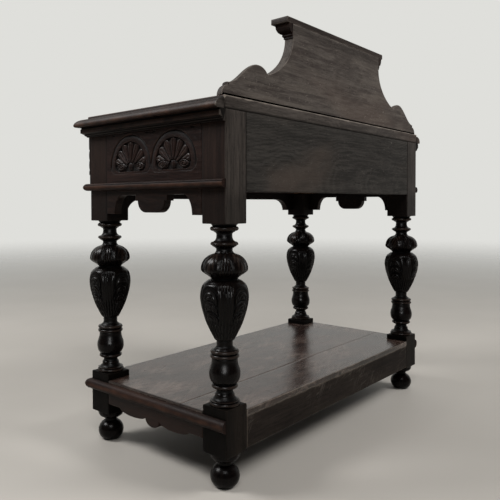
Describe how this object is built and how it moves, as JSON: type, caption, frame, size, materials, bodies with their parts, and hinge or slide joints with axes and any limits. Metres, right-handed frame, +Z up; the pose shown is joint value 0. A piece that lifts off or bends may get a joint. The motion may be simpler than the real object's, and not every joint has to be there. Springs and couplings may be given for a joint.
{
  "type": "side table",
  "caption": "Carved oak side table with turned cup-and-cover legs, lunette frieze, long drawer, moulded top with a scrolled raised back, and an undertier on bun feet.",
  "frame": {"origin": "on the floor, under the middle of the table's bounding box", "axes": "+X to the right-hand end seen from the front, +Y towards the raised back, +Z up"},
  "size_m": [0.958, 0.482, 0.99],
  "materials": {
    "polished_oak": "dark stained and waxed, softly glossy",
    "turned_oak": "nearly black, polished",
    "worn_oak": "dark stained, rubbed lighter on the rounds",
    "rough_oak": "unpolished, grey-brown with stains",
    "inner_oak": "bare inner wood"
  },
  "bodies": {
    "carcass": {"front_left_leg": "turned_oak", "front_right_leg": "turned_oak", "rear_left_leg": "turned_oak", "rear_right_leg": "turned_oak", "front_left_foot": "turned_oak", "front_right_foot": "turned_oak", "rear_left_foot": "turned_oak", "rear_right_foot": "turned_oak", "table_top": "polished_oak", "cornice_front": "polished_oak", "cornice_left": "polished_oak", "cornice_right": "polished_oak", "end_frieze_left": "polished_oak", "end_frieze_right": "polished_oak", "back_panel": "rough_oak", "upper_front_rail": "polished_oak", "drawer_rail": "polished_oak", "astragal_front": "worn_oak", "astragal_left": "worn_oak", "astragal_right": "worn_oak", "apron_front": "polished_oak", "apron_left": "polished_oak", "apron_right": "polished_oak", "carved_block_left": "polished_oak", "carved_block_right": "polished_oak", "runner_left": "inner_oak", "runner_right": "inner_oak", "kickers": "inner_oak", "drawer_stops": "inner_oak", "glue_blocks": "inner_oak", "shelf_front_board": "polished_oak", "shelf_rear_board": "polished_oak", "rear_lower_rail": "rough_oak", "lower_rail_front": "polished_oak", "lower_rail_left": "polished_oak", "lower_rail_right": "polished_oak", "shelf_bead_front": "worn_oak", "shelf_bead_left": "worn_oak", "shelf_bead_right": "worn_oak", "gallery_board": "rough_oak", "gallery_cap": "polished_oak", "gallery_cornice_front": "polished_oak", "gallery_cornice_left": "polished_oak", "gallery_cornice_right": "polished_oak", "gallery_base_moulding": "polished_oak", "gallery_dowels": "inner_oak"},
    "drawer": {"drawer_front": "polished_oak", "drawer_side_left": "inner_oak", "drawer_side_right": "inner_oak", "drawer_back": "inner_oak", "drawer_bottom": "inner_oak", "knob_left": "turned_oak", "knob_right": "turned_oak"}
  },
  "joints": [
    {"name": "drawer_slide", "type": "slide", "parent": "carcass", "child": "drawer", "axis": [0, -1, 0], "range_m": [0, 0.28]}
  ]
}
